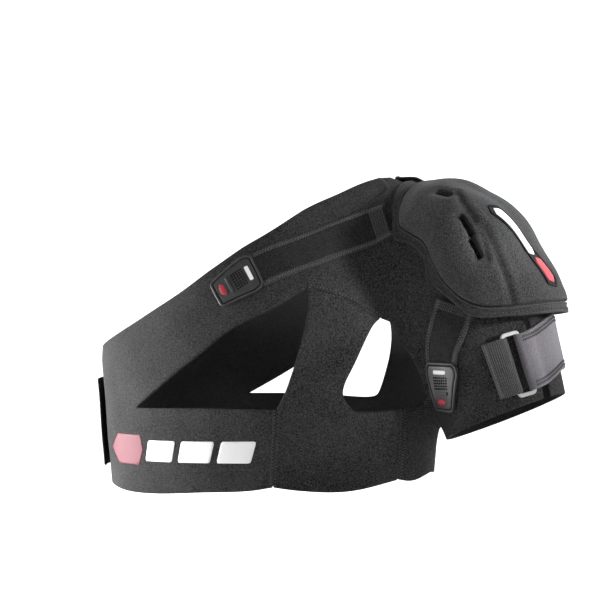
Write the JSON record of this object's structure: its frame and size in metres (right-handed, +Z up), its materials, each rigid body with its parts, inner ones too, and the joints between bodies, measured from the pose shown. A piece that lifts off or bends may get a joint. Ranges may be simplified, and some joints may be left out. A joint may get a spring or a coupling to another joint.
{
  "type": "shoulder brace",
  "caption": "Soft wrap-around shoulder support: a chest band with crossed diagonals, a short sleeve, a padded shoulder cap, sewn straps and a ringed arm strap.",
  "frame": {"origin": "seat on top of the wearer's left shoulder, at the inner face of the shoulder panel", "axes": "+X to the wearer's left along the shoulder, -Y to the wearer's front, +Z up"},
  "size_m": [0.4885, 0.2562, 0.3146],
  "materials": {
    "neoprene": "matt stretch jersey over foam rubber",
    "pad_foam": "matt smooth jersey over moulded foam",
    "elastic": "matt woven elastic",
    "soft_grey": "matt brushed loop cloth",
    "rubber": "satin moulded rubber",
    "ring_grey": "satin moulded plastic",
    "pale_trim": "flat transfer print",
    "red_trim": "flat transfer print"
  },
  "bodies": {
    "root": {"chest_panel": "neoprene", "centre_panel": "neoprene", "side_panel": "neoprene", "back_panel": "neoprene", "shoulder_panel": "neoprene", "sleeve": "neoprene", "closure_flap": "neoprene", "print_bar_1": "pale_trim", "print_bar_2": "pale_trim", "print_bar_3": "pale_trim", "print_red": "red_trim", "cap_base": "neoprene", "shoulder_pad": "pad_foam", "badge_frame": "rubber", "badge_pale": "pale_trim", "badge_red": "red_trim", "front_strap": "elastic", "front_tab": "rubber", "front_tab_bar": "pale_trim", "front_tab_dot": "red_trim", "lower_strap": "elastic", "lower_tab": "rubber", "lower_tab_bar": "pale_trim", "lower_tab_dot": "red_trim", "rear_strap": "elastic", "rear_tab": "rubber", "arm_webbing": "elastic", "arm_strap": "soft_grey", "arm_ring": "ring_grey"}
  },
  "joints": []
}
